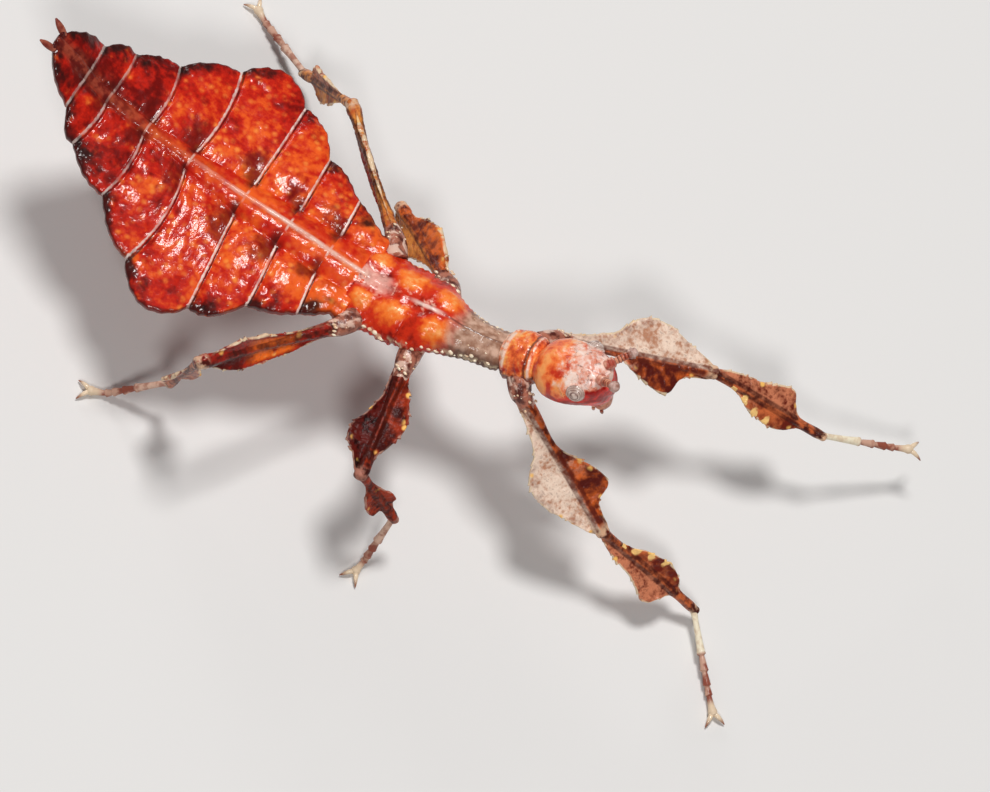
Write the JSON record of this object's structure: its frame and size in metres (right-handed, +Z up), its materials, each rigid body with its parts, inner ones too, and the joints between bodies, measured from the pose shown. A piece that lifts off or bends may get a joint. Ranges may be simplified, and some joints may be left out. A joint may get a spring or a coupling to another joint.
{
  "type": "young leaf insect",
  "caption": "Life-size still model of a young leaf insect: leaf-shaped scalloped abdomen, slim thorax, round head, lobed legs, left front leg raised.",
  "frame": {"origin": "on the floor, under the middle of the model's box", "axes": "+X towards the head, +Y towards the animal's left, +Z up; the floor is z = 0"},
  "size_m": [0.0306, 0.0158, 0.0091],
  "materials": {
    "abdomen": "glossy crimson cuticle with fine orange mottling",
    "thorax": "glossy translucent orange cuticle",
    "neck": "dull dark brown cuticle with pale tubercles",
    "head": "satin orange-red cuticle with a grained surface",
    "eye": "glossy grey compound eye",
    "feeler": "brown ringed cuticle",
    "femur": "dry mottled tan and brown cuticle",
    "tibia": "red-brown cuticle with yellow blotches",
    "tarsus": "cream and brown jointed foot"
  },
  "bodies": {
    "root": {"abdomen": "abdomen", "metathorax": "thorax", "mesothorax": "neck", "prothorax": "head", "head": "head", "eye_left": "eye", "eye_right": "eye", "antenna_left": "feeler", "antenna_right": "feeler", "mouthparts": "feeler", "cercus_left": "feeler", "cercus_right": "feeler", "coxa_front_left": "neck", "coxa_front_right": "neck", "coxa_middle_left": "neck", "coxa_middle_right": "neck", "coxa_hind_left": "neck", "coxa_hind_right": "neck", "femur_front_left": "femur", "femur_front_right": "femur", "femur_middle_left": "femur", "femur_middle_right": "femur", "femur_hind_left": "femur", "femur_hind_right": "femur", "tibia_front_left": "tibia", "tibia_front_right": "tibia", "tibia_middle_left": "tibia", "tibia_middle_right": "tibia", "tibia_hind_left": "tibia", "tibia_hind_right": "tibia", "tarsus_front_left": "tarsus", "tarsus_front_right": "tarsus", "tarsus_middle_left": "tarsus", "tarsus_middle_right": "tarsus", "tarsus_hind_left": "tarsus", "tarsus_hind_right": "tarsus"}
  },
  "joints": []
}
